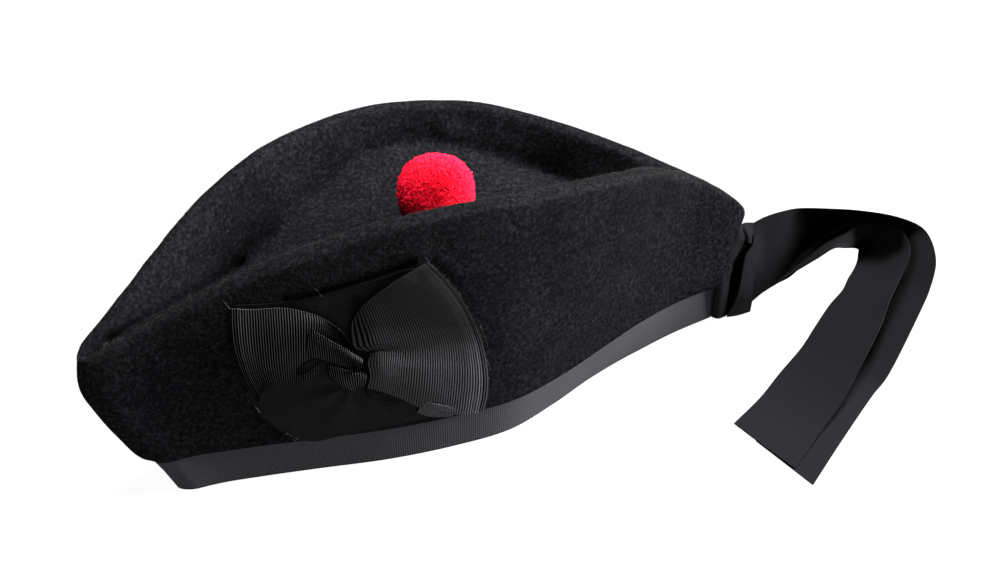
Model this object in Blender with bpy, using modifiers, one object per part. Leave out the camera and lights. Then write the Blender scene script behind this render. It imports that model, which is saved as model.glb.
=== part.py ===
"""Glengarry: a wool felt cap on a ribbon headband, with a rosette, a toorie and two tail ribbons.

Metres, +Z up. The front points along -X and the wearer's left side along -Y. The cap stands
on its headband, and the origin is on the floor below the middle of the whole part.
"""

import math

import bmesh
import bpy
import numpy as np
from mathutils import Vector


def columns(names, *rows):
    """A table of rows as a dictionary of its named columns."""
    return dict(zip(names, zip(*rows)))


# Head opening and headband: a hat for a head about 570 mm round, folded flat
OPENING_LENGTH = 0.264
OPENING_WIDTH = 0.069
BAND_HEIGHT = 0.026
BAND_THICK = 0.0014

# Felt cap
FELT = 0.0024
RIDGE_HEIGHT = 0.115
RIDGE_SPREAD = 0.1138
NOSE_OVERHANG = 0.0352
REAR_OVERHANG = 0.0137
CROWN_DEPTH = 0.034
RIDGE_ROUND = 0.0046
WALL_BULGE = 0.0043
HEM_HEIGHT = 0.0195
END_ROUND = 0.007
NOSE_SLANT = 1.2
OVERHANG_TOP = 0.85
EVEN_LEAN = 0.75
CREASE_GAP = 0.001
STEP_INSET = 0.93

# Rosette, sewn to the left wall
ROSETTE_LENGTH = 0.095
ROSETTE_HEIGHT = 0.072
ROSETTE_PLACE = 0.305
ROSETTE_FOOT = 0.0015
ROSETTE_BACKING = 0.001
RIBBON = 0.001
BOW_PUFF = 0.0052
BOW_FOLDS = 3
FOLD_DEPTH = 0.38
BOW_EDGE = 0.08

# Toorie
TOORIE_WIDE = 0.031
TOORIE_PLACE = 0.487
TUFTS = 90
TUFT_DEPTH = 0.0011

# Rear tie and tails
TIE_HEIGHT = 0.0335
TIE_REACH = 0.0123
TIE_SIDE = 0.0099
TIE_TUCK = 0.38
FOLD_LENGTH = 0.0062
FOLD_THICK = 0.0050
FOLD_HEIGHT = 0.0115
FOLD_TWIST = 0.8
FOLD_BEHIND = 0.75
TAIL_WIDTH = 0.038
TAIL_REACH = 0.100
TAIL_SWING = 0.100
TAIL_LIFT = 0.020

GAP = 0.0004
NEARBY = 0.002

# Sections of the cap from front to rear. "along" is the share of the length, "opening" and
# "spread" are shares of half the opening's and half the ridges' width, "height" of the ridge
# height, "depth" of the crown depth, and "step" is the share of that depth at which the crown
# leaves the ridge's side and turns into the valley's slope.
SECTIONS = columns(
    ("along", "opening", "height", "spread", "depth", "step"),
    (   0.0,   0.14,  0.583,  0.125,    0.2,    0.5),
    (  0.06,    0.2,  0.689,  0.232,   0.42,    0.7),
    (  0.12,   0.33,  0.776,  0.378,   0.65,    0.9),
    (   0.2,   0.53,   0.88,  0.591,   0.85,   0.95),
    (   0.3,   0.79,  0.964,  0.793,   0.97,   0.86),
    (   0.4,   0.95,    1.0,  0.936,   0.94,   0.68),
    (   0.5,    1.0,  0.994,    1.0,    0.8,   0.53),
    (   0.6,   0.79,  0.967,  0.953,   0.74,   0.54),
    (   0.7,   0.51,  0.903,  0.765,   0.71,   0.68),
    (   0.8,    0.3,  0.785,  0.428,   0.65,   0.84),
    (   0.9,   0.17,   0.64,  0.184,   0.53,    0.9),
    (  0.96,   0.15,  0.528,  0.135,    0.4,    0.7),
    (   1.0,   0.14,  0.428,  0.121,   0.22,    0.5),
)
VALLEY_INSET = (0.014, 0.011)

# The backing's outline: the front and rear edges from the foot up, as shares of its length from
# its middle, and the top edge from front to rear, as shares of its height.
PATCH = {
    "front_edge": (-0.41, -0.47, -0.50, -0.49, -0.46),
    "rear_edge": (0.47, 0.50, 0.48, 0.41, 0.29),
    "top": (0.88, 0.84, 0.89, 0.93, 1.00),
}

# The bow, a row for each fold from its front wing's end over the pinch to its rear wing's end:
# the top and low edges in the backing's shares, how far the wing's end bows out, and the puff as
# a share of BOW_PUFF.
BOW = columns(
    ("top_p", "top_q", "low_p", "low_q", "bend", "puff"),
    (-0.455,   0.85,  -0.49,   0.39,  -0.01,   0.12),
    ( -0.34,   0.87,  -0.42,   0.35,  -0.01,   0.35),
    ( -0.22,   0.83,  -0.32,   0.39,    0.0,   0.65),
    ( -0.13,   0.73,   -0.2,   0.43,    0.0,   0.95),
    ( -0.06,    0.6,   -0.1,    0.4,    0.0,   0.75),
    (-0.025,   0.54, -0.045,   0.32,    0.0,    0.3),
    ( -0.06,   0.66,  -0.01,   0.23,    0.0,   0.75),
    ( 0.016,   0.79,   0.07,   0.13,   0.01,    1.0),
    (   0.1,   0.87,    0.2,   0.05,   0.03,   0.75),
    (   0.2,   0.94,   0.34,   0.02,  0.055,   0.45),
    ( 0.285,   0.97,  0.465,  0.015,   0.08,   0.12),
)

# The tie's plan from the strip on the felt's left side, round its end and a deep valley, to the
# strip that carries the tails: shares of TIE_REACH behind the felt's end and of TIE_SIDE to the
# left, and how far each place stands upright, where the felt's end leans back.
TIE = columns(
    ("behind", "aside", "upright"),
    ( -0.72,   1.03,    0.0),
    ( -0.27,   0.93,    0.0),
    (   0.0,   0.66,    0.0),
    (  0.15,   0.15,    0.0),
    (   0.2,  -0.25,    0.0),
    (  0.38,  -0.25,    0.1),
    (   0.5,    0.5,    0.3),
    (  0.66,   0.77,    0.6),
    (   1.0,   0.79,    1.0),
)
TIE_LEVELS = 4

# The tails from the tie to their ends. The inner edge's x is a share of TAIL_REACH behind the
# opening, its y of TAIL_SWING to the wearer's left and its z of TAIL_LIFT. The columns "across"
# are the way to the outer edge and "cup" the hollow between the edges, in shares of TAIL_WIDTH.
OUTER_TAIL = columns(
    ("x", "y", "z", "across_x", "across_y", "across_z", "cup"),
    (  0.18,  0.075,   0.44,  -0.03,  -0.02,   0.98,    0.0),
    (  0.32,    0.0,   0.45,  -0.16,   -0.2,   0.96,   0.02),
    (  0.53,   -0.1,   0.35,  -0.21,  -0.34,   0.92,   0.05),
    (  0.69,  -0.11,    0.6,  -0.31,  -0.52,   0.76,   0.08),
    (  0.87,  -0.12,    0.7,  -0.39,  -0.65,   0.63,    0.1),
    (  0.95,  -0.03,    0.8,  -0.33,  -0.73,   0.54,   0.15),
    (  0.92,   0.08,    0.8,  -0.08,  -0.79,   0.37,   0.22),
    (  0.82,    0.2,    0.7,   0.03, -0.855,   0.29,   0.22),
    (  0.68,   0.31,   0.55,   0.03, -0.895,   0.25,   0.18),
    (  0.52,    0.4,    0.4,    0.0, -0.934,  0.237,    0.1),
    (  0.27,   0.52,   0.15, -0.045, -0.974,   0.03,   0.02),
    (  0.11,    0.6,   0.05,  -0.08,  -0.95,    0.0,    0.0),
    ( -0.24,  0.785,   0.03, -0.055, -0.997,    0.0,    0.0),
    (-0.532,  0.959,   0.03, -0.055, -0.998,    0.0,    0.0),
)
INNER_TAIL = columns(
    ("x", "y", "z", "across_x", "across_y", "across_z", "cup"),
    ( 0.188,  0.063,   0.25,    0.2,    0.1,  -0.03,    0.0),
    ( 0.314,  0.073,   0.55,   0.25,   0.16,  -0.04,  -0.04),
    ( 0.413,  0.078,   0.65,   0.34,   0.24,  -0.03,  -0.08),
    ( 0.562,  0.071,   0.85,   0.45,   0.36,  -0.05,  -0.08),
    ( 0.664,  0.069,   0.95,    0.5,  0.366,  -0.05,    0.0),
    ( 0.745,  0.084,    1.0,   0.37,   0.14,   0.03,   0.08),
    ( 0.713,  0.149,   0.95,   0.42,  -0.16,   0.18,   0.16),
    ( 0.669,  0.194,    0.9,   0.38,  -0.44,   0.18,   0.15),
    (  0.58,  0.256,    0.8,   0.18,  -0.68,  0.197,   0.13),
    ( 0.456,  0.339,    0.7, -0.016,  -0.84,  0.237,   0.09),
    ( 0.208,  0.459,   0.45,  0.045,  -0.91,  0.205,   0.04),
    ( 0.065,  0.538,    0.3, -0.013,  -0.94,   0.17,   0.02),
    (-0.253,   0.68,   0.11,  -0.02, -0.987,   0.02,    0.0),
    (-0.521,  0.812,    0.1, -0.034, -0.994,    0.0,    0.0),
)

# Mesh density
SHARP_EDGE = math.radians(50)
BALL_SUBDIVISIONS = 4
KNOT_SEGMENTS = 12
KNOT_RINGS = 8
SIDE_STATIONS = 30
END_STATIONS = 3
WALL_ROWS = 7
RIDGE_ROWS = 5
CROWN_SIDE_ROWS = 3
CROWN_FLOOR_ROWS = 5
PATCH_COLUMNS = 12
PATCH_ROWS = 6
BOW_COLUMNS = 22
BOW_ROWS = 10
TAIL_STEPS = 34
TAIL_COLUMNS = 4

MATERIALS = {
    "wool_felt": ((0.010, 0.010, 0.012, 1), 0.95),
    "band_ribbon": ((0.030, 0.030, 0.033, 1), 0.7),
    "backing_cloth": ((0.012, 0.012, 0.013, 1), 0.8),
    "bow_ribbon": ((0.022, 0.022, 0.024, 1), 0.7),
    "tail_ribbon": ((0.034, 0.034, 0.038, 1), 0.7),
    "red_wool": ((0.55, 0.01, 0.02, 1), 0.95),
}


def section(column, along):
    """A column of the sections' table at a share of the length, along a smooth curve."""
    xs, ys = np.array(SECTIONS["along"]), np.array(SECTIONS[column])
    slopes = np.gradient(ys, xs)
    i = min(max(int(np.searchsorted(xs, along)) - 1, 0), len(xs) - 2)
    wide = xs[i + 1] - xs[i]
    t = (along - xs[i]) / wide
    start, end = slopes[i] * wide, slopes[i + 1] * wide
    a = 2 * ys[i] - 2 * ys[i + 1] + start + end
    b = 3 * ys[i + 1] - 3 * ys[i] - 2 * start - end
    return float(((a * t + b) * t + start) * t + ys[i])


def rounded_end(along, length):
    """How far a plan outline has opened at a share of its length: 0 at its tips, 1 past its round ends."""
    from_tip = min(along, 1 - along) * length / END_ROUND
    return math.sqrt(max(0.0, 1 - (1 - min(from_tip, 1.0)) ** 2))


def wall_point(along, up, out=0.0):
    """A point of the left wall, moved out sideways: up is 0 on the floor and 1 at the ridge."""
    rise = min(up / OVERHANG_TOP, 1)
    lean = EVEN_LEAN * rise + (1 - EVEN_LEAN) * rise * rise * (3 - 2 * rise)
    front = -OPENING_LENGTH / 2 - NOSE_OVERHANG * lean - out * NOSE_SLANT
    rear = OPENING_LENGTH / 2 + REAR_OVERHANG * up * up + out
    width = section("opening", along) * OPENING_WIDTH / 2
    top = section("spread", along) * RIDGE_SPREAD / 2
    bulge = WALL_BULGE * math.sin(math.pi * up) * section("spread", along)
    half = (width + (top - width) * up + bulge + out) * rounded_end(along, rear - front)
    tall = section("height", along) * RIDGE_HEIGHT - ridge_fold(along)
    return Vector((front + (rear - front) * along, -half, tall * up))


def ridge_fold(along):
    """The ridge fold's radius, kept inside half of a narrow section."""
    half = section("spread", along) * RIDGE_SPREAD / 2
    return min(RIDGE_ROUND, (half - CREASE_GAP) / 2)


def crown_points(along):
    """The left half of the crown at one section: over the ridge's fold and down to the middle."""
    ridge = wall_point(along, 1)
    half = -ridge.y
    open_share = half / (section("spread", along) * RIDGE_SPREAD / 2)
    fold = ridge_fold(along) * open_share
    points = []
    for i in range(1, RIDGE_ROWS + 1):
        angle = math.pi * i / RIDGE_ROWS
        points.append((half - fold * (1 - math.cos(angle)), ridge.z + ridge_fold(along) * math.sin(angle)))
    depth = section("depth", along) * CROWN_DEPTH
    inner = half - 2 * fold
    top = ridge.z
    step = top - section("step", along) * depth
    floor = top - depth
    turn = max(inner * STEP_INSET, min(inner, CREASE_GAP * open_share))
    for i in range(1, CROWN_SIDE_ROWS + 1):
        s = i / CROWN_SIDE_ROWS
        points.append((inner + (turn - inner) * s, top + (step - top) * s))
    for i in range(1, CROWN_FLOOR_ROWS + 1):
        s = i / CROWN_FLOOR_ROWS
        points.append((turn * (1 - s), step + (floor - step) * (1 - (1 - s) ** 2)))
    inset_front, inset_rear = VALLEY_INSET
    length = OPENING_LENGTH + NOSE_OVERHANG + REAR_OVERHANG
    placed = []
    for i, (out, z) in enumerate(points):
        into = max(0, i + 1 - RIDGE_ROWS / 2) / (len(points) - RIDGE_ROWS / 2)
        x = ridge.x + min(into * 2, 1) * (inset_front * (1 - along) - inset_rear * along)
        placed.append(Vector((x, -out, z)))
    return placed


def stations():
    """Shares of the length from the front tip to the rear tip, closer together round the ends."""
    length = OPENING_LENGTH + NOSE_OVERHANG + REAR_OVERHANG
    end = END_ROUND / length
    tips = [end * (1 - math.cos(math.pi / 2 * i / END_STATIONS)) for i in range(END_STATIONS)]
    middle = [end + (1 - 2 * end) * i / SIDE_STATIONS for i in range(SIDE_STATIONS + 1)]
    return tips + middle + [1 - t for t in reversed(tips)]


def material(name):
    colour, roughness = MATERIALS[name]
    made = bpy.data.materials.new(name)
    made.use_nodes = True
    shader = made.node_tree.nodes["Principled BSDF"]
    shader.inputs["Base Color"].default_value = colour
    shader.inputs["Roughness"].default_value = roughness
    shader.inputs["Metallic"].default_value = 0
    made.diffuse_color = colour
    return made


def add_piece(name, mesh, finish):
    """A named object for a bmesh, with its faces turned out and its material set."""
    bmesh.ops.recalc_face_normals(mesh, faces=mesh.faces)
    data = bpy.data.meshes.new(name)
    mesh.to_mesh(data)
    mesh.free()
    data.shade_smooth()
    data.set_sharp_from_angle(angle=SHARP_EDGE)
    data.materials.append(finish)
    piece = bpy.data.objects.new(name, data)
    COLLECTION.objects.link(piece)
    return piece


def loft(mesh, rings, closed=True):
    """Quads between neighbouring rings of vertices."""
    for lower, upper in zip(rings, rings[1:]):
        count = len(lower)
        for i in range(count if closed else count - 1):
            j = (i + 1) % count
            corners = []
            for vertex in (lower[i], lower[j], upper[j], upper[i]):
                if vertex not in corners:
                    corners.append(vertex)
            if len(corners) > 2:
                mesh.faces.new(corners)


def ring_from_left(mesh, left):
    """A closed ring of vertices from its left half, whose first and last points lie on the middle plane."""
    right = [Vector((p.x, -p.y, p.z)) for p in left[-2:0:-1]]
    return [mesh.verts.new(p) for p in [*left, *right]]


def wall_row(along, row):
    """A point of the felt's outer side: the hem, the band's top, and then even steps up to the ridge."""
    tall = wall_point(along, 1).z
    band_top = (BAND_HEIGHT + 2 * GAP) / tall
    step = (row - 1) / (WALL_ROWS - 1)
    up = HEM_HEIGHT / tall if row == 0 else band_top + (1 - band_top) * step
    return wall_point(along, up, (FELT + GAP) * min(1, 1 - step))


def felt_body():
    """The felt cap: one surface from the hem up the walls, over the ridges and down into the valley."""
    mesh = bmesh.new()
    alongs = stations()
    rings = []
    for row in range(WALL_ROWS + 1):
        rings.append(ring_from_left(mesh, [wall_row(along, row) for along in alongs]))
    columns = [crown_points(along) for along in alongs]
    for row in range(len(columns[0]) - 1):
        rings.append(ring_from_left(mesh, [column[row] for column in columns]))
    middle = [mesh.verts.new(Vector((c[-1].x, 0, c[-1].z))) for c in columns]
    rings.append([*middle, *middle[-2:0:-1]])
    loft(mesh, rings)
    piece = add_piece("felt_body", mesh, material("wool_felt"))
    wall = piece.modifiers.new("felt_thickness", "SOLIDIFY")
    wall.thickness = FELT
    wall.offset = -1
    return piece


def headband():
    """The ribbon band inside the hem, with a flat lower edge to stand on."""
    mesh = bmesh.new()
    alongs = stations()
    rings = []
    heights = (0, HEM_HEIGHT, BAND_HEIGHT)
    for inward, levels in ((0, heights), (BAND_THICK, heights[::-1])):
        for height in levels:
            left = []
            for along in alongs:
                point = wall_point(along, height / wall_point(along, 1).z, -inward)
                left.append(Vector((point.x, point.y, height)))
            rings.append(ring_from_left(mesh, left))
    loft(mesh, [*rings, rings[0]])
    return add_piece("headband", mesh, material("band_ribbon"))


def wall_normal(along, up, out):
    """The direction straight out of the left wall."""
    across = wall_point(along + NEARBY, up, out) - wall_point(along - NEARBY, up, out)
    upward = wall_point(along, up + NEARBY, out) - wall_point(along, up - NEARBY, out)
    return across.cross(upward).normalized()


def on_left_wall(p, q, off):
    """A point over the felt's left side: p runs from -0.5 to 0.5 along the rosette, q from 0 to 1 up it."""
    length = OPENING_LENGTH + NOSE_OVERHANG + REAR_OVERHANG
    along = ROSETTE_PLACE + p * ROSETTE_LENGTH / length
    tall = wall_point(along, 1).z
    height = HEM_HEIGHT + ROSETTE_FOOT + q * ROSETTE_HEIGHT
    up = height / tall
    step = max(0, (height - BAND_HEIGHT - 2 * GAP) / (tall - BAND_HEIGHT - 2 * GAP))
    out = (FELT + GAP) * (1 - step)
    return wall_point(along, up, out) + wall_normal(along, up, out) * off


def table_value(table, column, t):
    """A column of a table at a share from its first row to its last, along straight lines."""
    values = table[column]
    place = t * (len(values) - 1)
    i = min(int(place), len(values) - 2)
    return values[i] + (values[i + 1] - values[i]) * (place - i)


def slab(mesh, lower, upper):
    """A closed body between two grids of points with the same numbers of rows and columns."""
    below = [[mesh.verts.new(p) for p in row] for row in lower]
    above = [[mesh.verts.new(p) for p in row] for row in upper]
    loft(mesh, above, closed=False)
    loft(mesh, [row[::-1] for row in below], closed=False)
    loft(mesh, [below[0], above[0]], closed=False)
    loft(mesh, [above[-1], below[-1]], closed=False)
    loft(mesh, [[row[0] for row in above], [row[0] for row in below]], closed=False)
    loft(mesh, [[row[-1] for row in below], [row[-1] for row in above]], closed=False)


def rosette_backing():
    """The cloth patch on the left wall, with a straight foot and a rounded rear side."""
    lower, upper = [], []
    for i in range(PATCH_COLUMNS + 1):
        a = i / PATCH_COLUMNS
        grid = []
        for j in range(PATCH_ROWS + 1):
            b = j / PATCH_ROWS
            left = table_value(PATCH, "front_edge", b)
            right = table_value(PATCH, "rear_edge", b)
            grid.append((left + (right - left) * a, b * table_value(PATCH, "top", a)))
        lower.append([on_left_wall(p, q, GAP) for p, q in grid])
        upper.append([on_left_wall(p, q, GAP + ROSETTE_BACKING) for p, q in grid])
    mesh = bmesh.new()
    slab(mesh, lower, upper)
    return add_piece("rosette_backing", mesh, material("backing_cloth"))


def rosette_bow():
    """The ribbon bow over the backing: two puffed wings gathered into folds at the pinch."""
    lower, upper = [], []
    base = 2 * GAP + ROSETTE_BACKING
    for i in range(BOW_COLUMNS + 1):
        t = i / BOW_COLUMNS
        top_p, top_q, low_p, low_q, bend, puff = (table_value(BOW, name, t) for name in BOW)
        under, over = [], []
        for j in range(BOW_ROWS + 1):
            v = j / BOW_ROWS
            p = low_p + (top_p - low_p) * v + bend * math.sin(math.pi * v)
            q = low_q + (top_q - low_q) * v
            fold = 1 - FOLD_DEPTH * (1 - math.cos(2 * math.pi * BOW_FOLDS * v))
            rounded = math.sqrt(math.sin(math.pi * min(max(v, BOW_EDGE), 1 - BOW_EDGE)))
            under.append(on_left_wall(p, q, base))
            over.append(on_left_wall(p, q, base + RIBBON + BOW_PUFF * puff * fold * rounded))
        lower.append(under)
        upper.append(over)
    mesh = bmesh.new()
    slab(mesh, lower, upper)
    return add_piece("rosette_bow", mesh, material("bow_ribbon"))


def toorie():
    """The wool ball that rests in the valley, with rounded tufts spread evenly over it."""
    mesh = bmesh.new()
    bmesh.ops.create_icosphere(mesh, subdivisions=BALL_SUBDIVISIONS, radius=TOORIE_WIDE / 2)
    golden = math.pi * (3 - math.sqrt(5))
    tips = []
    for i in range(TUFTS):
        z = 1 - 2 * (i + 0.5) / TUFTS
        around = math.sqrt(1 - z * z)
        tips.append(Vector((around * math.cos(golden * i), around * math.sin(golden * i), z)))
    spacing = math.sqrt(4 * math.pi / TUFTS) / 2
    valley = crown_points(TOORIE_PLACE)[-1]
    middle = Vector((valley.x, 0, valley.z + GAP + TOORIE_WIDE / 2))
    for vertex in mesh.verts:
        way = vertex.co.normalized()
        nearest = min(way.angle(tip) for tip in tips)
        vertex.co = middle + way * (TOORIE_WIDE / 2 - TUFT_DEPTH * min(nearest / spacing, 1.2) ** 2)
    return add_piece("toorie", mesh, material("red_wool"))


def rear_line(height):
    """The x of the felt's rear end at a height, carried on straight down to the floor."""
    tall = wall_point(1, 1).z
    low = wall_point(1, HEM_HEIGHT / tall, FELT + GAP).x
    high = wall_point(1, TIE_HEIGHT / tall, FELT + GAP).x
    return low + (high - low) * (height - HEM_HEIGHT) / (TIE_HEIGHT - HEM_HEIGHT)


def rear_tie():
    """The binding ribbon's folded end, from the strip beside the felt to the one that carries the tails."""
    mesh = bmesh.new()
    rings = []
    for i in range(TIE_LEVELS + 1):
        height = GAP + i / TIE_LEVELS * (TIE_HEIGHT - GAP)
        lean = rear_line(height) - rear_line(TIE_HEIGHT / 2)
        tuck = TIE_TUCK * max(0, 1 - height / (TIE_HEIGHT / 2))
        ring = []
        for behind, aside, upright in zip(*TIE.values()):
            x = rear_line(height) + behind * TIE_REACH - upright * lean
            y = -aside * TIE_SIDE * (1 - tuck * (1 - upright))
            ring.append(mesh.verts.new((x, y, height)))
        rings.append(ring)
    loft(mesh, rings, closed=False)
    return thickened(add_piece("rear_tie", mesh, material("band_ribbon")))


def tie_fold():
    """The small twisted fold that closes the tie's top."""
    mesh = bmesh.new()
    bmesh.ops.create_uvsphere(mesh, u_segments=KNOT_SEGMENTS, v_segments=KNOT_RINGS, radius=0.5)
    x = rear_line(TIE_HEIGHT) + FOLD_LENGTH * FOLD_BEHIND
    z = TIE_HEIGHT + GAP + FOLD_HEIGHT / 2
    for vertex in mesh.verts:
        turn = FOLD_TWIST * vertex.co.z
        along = vertex.co.x * math.cos(turn) - vertex.co.y * math.sin(turn)
        aside = vertex.co.x * math.sin(turn) + vertex.co.y * math.cos(turn)
        shape = Vector((along * FOLD_LENGTH, aside * FOLD_THICK, vertex.co.z * FOLD_HEIGHT))
        vertex.co = shape + Vector((x, -TIE_SIDE / 2, z))
    return add_piece("tie_fold", mesh, material("band_ribbon"))


def thickened(piece):
    """Gives a ribbon's surface its thickness, half to each side."""
    wall = piece.modifiers.new("ribbon_thickness", "SOLIDIFY")
    wall.thickness = RIBBON
    wall.offset = 0
    return piece


def smooth_value(values, t):
    """A list's value at a share from its first entry to its last, along a smooth curve."""
    place = t * (len(values) - 1)
    i = min(int(place), len(values) - 2)
    t = place - i
    before, after = values[max(i - 1, 0)], values[min(i + 2, len(values) - 1)]
    start, end = (values[i + 1] - before) / 2, (after - values[i]) / 2
    a = 2 * values[i] - 2 * values[i + 1] + start + end
    b = 3 * values[i + 1] - 3 * values[i] - 2 * start - end
    return ((a * t + b) * t + start) * t + values[i]


def tail_frame(route, t):
    """A tail's inner edge, the vector across to its outer edge, and its cup, at a share of its length."""
    x, y, z, across_x, across_y, across_z, cup = (smooth_value(route[name], t) for name in route)
    inner = Vector((OPENING_LENGTH / 2 + x * TAIL_REACH, -y * TAIL_SWING, z * TAIL_LIFT))
    return inner, Vector((across_x, across_y, across_z)) * TAIL_WIDTH, cup * TAIL_WIDTH


def tail_ribbon(name, route):
    """A tail as a ribbon from the tie over its bend and down to its end on the floor."""
    mesh = bmesh.new()
    rings = []
    for i in range(TAIL_STEPS + 1):
        t = i / TAIL_STEPS
        inner, across, cup = tail_frame(route, t)
        ahead = tail_frame(route, min(t + NEARBY, 1))[0] - tail_frame(route, max(t - NEARBY, 0))[0]
        away = across.cross(ahead).normalized()
        row = []
        for j in range(TAIL_COLUMNS + 1):
            v = j / TAIL_COLUMNS
            row.append(mesh.verts.new(inner + across * v + away * cup * 4 * v * (1 - v)))
        rings.append(row)
    loft(mesh, rings, closed=False)
    return thickened(add_piece(name, mesh, material("tail_ribbon")))


def stand_on_origin(pieces):
    """Moves all pieces together, with the origin on the floor below the middle of the whole part's box."""
    bpy.context.view_layer.update()
    graph = bpy.context.evaluated_depsgraph_get()
    corners = []
    for piece in pieces:
        shown = piece.evaluated_get(graph).data
        corners += [vertex.co.copy() for vertex in shown.vertices]
    low = [min(corner[axis] for corner in corners) for axis in range(3)]
    high = [max(corner[axis] for corner in corners) for axis in range(3)]
    middle = Vector(((low[0] + high[0]) / 2, (low[1] + high[1]) / 2, low[2]))
    for piece in pieces:
        for vertex in piece.data.vertices:
            vertex.co -= middle


def clear_scene():
    for thing in list(bpy.data.objects):
        bpy.data.objects.remove(thing, do_unlink=True)


clear_scene()
COLLECTION = bpy.data.collections.new("glengarry")
bpy.context.scene.collection.children.link(COLLECTION)
PIECES = [
    felt_body(), headband(), rosette_backing(), rosette_bow(), toorie(), rear_tie(), tie_fold(),
    tail_ribbon("tail_ribbon_outer", OUTER_TAIL), tail_ribbon("tail_ribbon_inner", INNER_TAIL),
]
stand_on_origin(PIECES)
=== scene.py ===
"""Glengarry with rosette, toorie and tails: the looks of each piece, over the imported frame.

Metres, +Z up. The front points along -X and the wearer's left side along -Y.
"""

import math

import bmesh
import bpy
import numpy as np
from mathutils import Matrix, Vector, noise
from mathutils.bvhtree import BVHTree
from numpy.linalg import norm


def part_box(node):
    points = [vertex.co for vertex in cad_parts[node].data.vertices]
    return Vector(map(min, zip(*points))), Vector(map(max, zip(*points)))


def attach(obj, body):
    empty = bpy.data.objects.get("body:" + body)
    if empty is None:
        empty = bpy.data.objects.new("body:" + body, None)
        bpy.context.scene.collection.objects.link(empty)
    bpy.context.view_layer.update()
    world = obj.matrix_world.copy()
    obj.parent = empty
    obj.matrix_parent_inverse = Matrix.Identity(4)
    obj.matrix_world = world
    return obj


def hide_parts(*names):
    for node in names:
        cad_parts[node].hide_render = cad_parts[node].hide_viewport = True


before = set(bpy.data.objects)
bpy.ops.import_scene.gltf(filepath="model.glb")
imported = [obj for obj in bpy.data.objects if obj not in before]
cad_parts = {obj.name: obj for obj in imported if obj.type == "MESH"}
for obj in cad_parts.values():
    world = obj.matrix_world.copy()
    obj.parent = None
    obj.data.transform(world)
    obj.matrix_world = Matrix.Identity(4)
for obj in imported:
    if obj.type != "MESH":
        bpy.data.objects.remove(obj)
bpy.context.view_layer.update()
MM = 0.001

# The camera: where it looks from, the point in the middle of its picture, and the picture's size
PICTURE = (1000, 563)
AZIMUTH = math.radians(-33.178)
ELEVATION = math.radians(26.943)
DISTANCE = 0.9
AIM = Vector((-0.01079, 0.0419, 0.0459))
LENS_MM = 78.0
SENSOR_MM = 36.0
BACK = Vector((math.sin(AZIMUTH) * math.cos(ELEVATION), -math.cos(AZIMUTH) * math.cos(ELEVATION),
               math.sin(ELEVATION)))
RIGHT = Vector((math.cos(AZIMUTH), math.sin(AZIMUTH), 0))
UP = BACK.cross(RIGHT)
EYE = AIM + BACK * DISTANCE

# Sizes of the felt's wall and the headband, the same as the solids'
SHIFT = Vector((-0.0311, 0.03846, 0))
OPENING_LENGTH = 0.264
OPENING_WIDTH = 0.069
BAND_HEIGHT = 0.026
BAND_THICK = 0.0014
RIDGE_HEIGHT = 0.115
RIDGE_SPREAD = 0.1138
NOSE_OVERHANG = 0.0352
REAR_OVERHANG = 0.0137
WALL_BULGE = 0.0043
END_ROUND = 0.007
NOSE_SLANT = 1.2
OVERHANG_TOP = 0.85
EVEN_LEAN = 0.75
RIDGE_ROUND = 0.0046
CREASE_GAP = 0.001

# Ribbon weave: grosgrain has about one rib to each 0.95 mm, which swings about its middle height
RIB = 0.00095
RIB_STEPS = 4
RIB_MIDDLE = 0.6
BAND_RELIEF = 0.00007
BOW_RELIEF = 0.00017
TAIL_RELIEF = 0.00002
RIBBON = 0.0004

# The headband: the heights of its outer and its inner face's points, the steps of its outline, and how its
# foot lifts off the floor a little towards the rear
BAND_OUTER = (0.0, 0.0006, 0.0012, 0.009, 0.0175, BAND_HEIGHT)
BAND_INNER = (BAND_HEIGHT, 0.013, 0.0)
BAND_PLAIN = 0.0006
BAND_RULE = 0.012
BAND_TIP = 0.025
TIP_STEPS = 16
SIDE_STEPS = 200
FOOT_LIFT = 0.0024
FOOT_FROM = 0.05
FOOT_TO = 0.11

# The bow's outer ends: a paler turned edge, a dark stitching groove, pale ribs. Places are in cm along it,
# and its inner sheets begin past them.
BOW_EDGE = [(0.0, "#b4b4b4"), (0.13, "#b4b4b4"), (0.17, "#303030"), (0.21, "#303030"), (0.24, "#ffffff"),
            (0.32, "#ffffff"), (0.38, "#8c8c8c"), (0.44, "#e0e0e0"), (0.65, "#d0d0d0"), (0.8, "#b8b8b8")]
BOW_INNER = 0.019
BOW_MIDDLE = (352, 382)

# The pixel rows of the right wing's upper lobe and lower part, and how much painted shade darkens the cloth
# there
WING_SHADE = ((325, 365), (0.78, 0.38))

# The backing's puckers round the bow's middle, and its slight unevenness
PULL_REACH = 0.016
PULL_FOLDS = 7
PULL_TURN = 1.2
PULL_DEEP = 0.0006
PATCH_WAVE = 0.009
PATCH_UNEVEN = 0.00025

# Frayed threads at the bow's ends, long loose ones, and stitches of several thin fibres
FRAY_COUNT = 260
FRAY_OUT = (0.0004, 0.0012)
FRAY_DOWN = (0.0006, 0.0014)
FRAY_SPREAD = 0.0003
FRAY_HELD = 0.0003
FRAY_WIDTH = (0.00005, 0.00012)
FRAY_DARK = (0.8, (0, 0.45), (0.6, 0.9))
LOOSE_END = 0.0012
LOOSE_BEND = 0.0006
LOOSE_WIDTH = 0.0001
LOOSE_SHADE = 0.9
STITCH_FIBRES = 9
STITCH_SPREAD = 0.8
STITCH_ROOT = (-1.4, -0.9, 0.0014)
STITCH_TIP = (1.6, 1.2, 0.0016)
STITCH_WIDTH = 0.00024

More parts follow.
